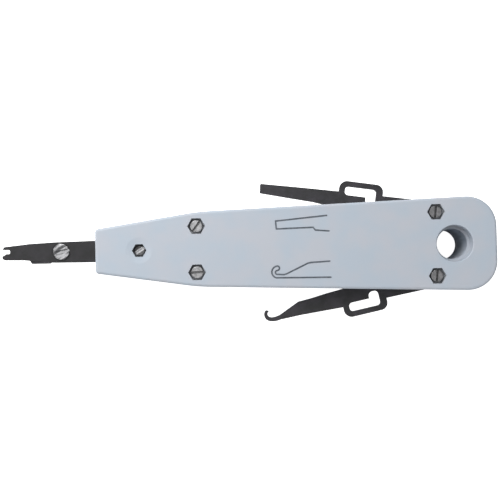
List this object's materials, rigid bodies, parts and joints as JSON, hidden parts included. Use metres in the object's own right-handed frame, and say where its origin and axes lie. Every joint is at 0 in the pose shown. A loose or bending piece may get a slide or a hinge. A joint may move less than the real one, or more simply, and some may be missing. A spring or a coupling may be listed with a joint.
{
  "type": "punch down tool",
  "caption": "Hand tool that presses and trims telecom wires: sprung forked head with cutter, two-shell plastic handle with hanging hole, fold-out release blade and removal hook.",
  "frame": {"origin": "axis of the hanging hole at the handle's parting plane", "axes": "+X along the tool from the forked tip to the butt, +Y towards the release blade's side, +Z out of the front face; it rests on its rear face"},
  "size_m": [0.1778, 0.0508, 0.022],
  "materials": {
    "handle_plastic": "light blue-grey moulded ABS, satin",
    "black_steel": "hardened steel with a matte black oxide finish",
    "screw_steel": "plated steel screw",
    "disc_steel": "bright turned steel, scratched",
    "nut_steel": "zinc-plated steel",
    "plain_steel": "plain machined steel",
    "spring_steel": "oiled spring steel"
  },
  "bodies": {
    "handle": {"front_shell": "handle_plastic", "rear_shell": "handle_plastic", "nose_screw": "screw_steel", "mid_screws": "screw_steel", "rear_screws": "screw_steel", "nose_nut": "nut_steel", "mid_nuts": "nut_steel", "rear_nuts": "nut_steel", "nose_bush": "plain_steel", "blade_pivot_bush": "plain_steel", "hook_pivot_bush": "plain_steel", "blade_pivot_washers": "plain_steel", "hook_pivot_washers": "plain_steel", "main_spring": "spring_steel", "spring_seat": "plain_steel"},
    "head": {"insertion_head": "black_steel", "cutter_pivot_screw": "disc_steel", "cutter_pivot_nut": "plain_steel", "ram_carrier": "plain_steel", "ram_cross_pin": "plain_steel", "spring_guide_rod": "plain_steel"},
    "cutter": {"cutter_blade": "black_steel"},
    "blade": {"release_blade": "black_steel"},
    "hook": {"removal_hook": "black_steel"}
  },
  "joints": [
    {"name": "head_slide", "type": "slide", "parent": "handle", "child": "head", "axis": [1, 0, 0], "range_m": [0, 0.005], "stiffness_N_per_m": 3400, "springref_m": -0.008, "deforming": ["main_spring"]},
    {"name": "cutter_hinge", "type": "hinge", "parent": "head", "child": "cutter", "pos_m": [-0.1412, 0.0003, 0], "axis": [0, 0, -1], "range_deg": [0, 6.5]},
    {"name": "release_blade_hinge", "type": "hinge", "parent": "handle", "child": "blade", "pos_m": [-0.0064, 0.01135, 0], "axis": [0, 0, -1], "range_deg": [-8.5, 111.5]},
    {"name": "removal_hook_hinge", "type": "hinge", "parent": "handle", "child": "hook", "pos_m": [-0.0064, -0.01135, 0], "axis": [0, 0, 1], "range_deg": [-12, 108]}
  ],
  "couplings": [
    {"joint": "cutter_hinge", "follows": "head_slide", "rad_per_m": 22.689}
  ]
}
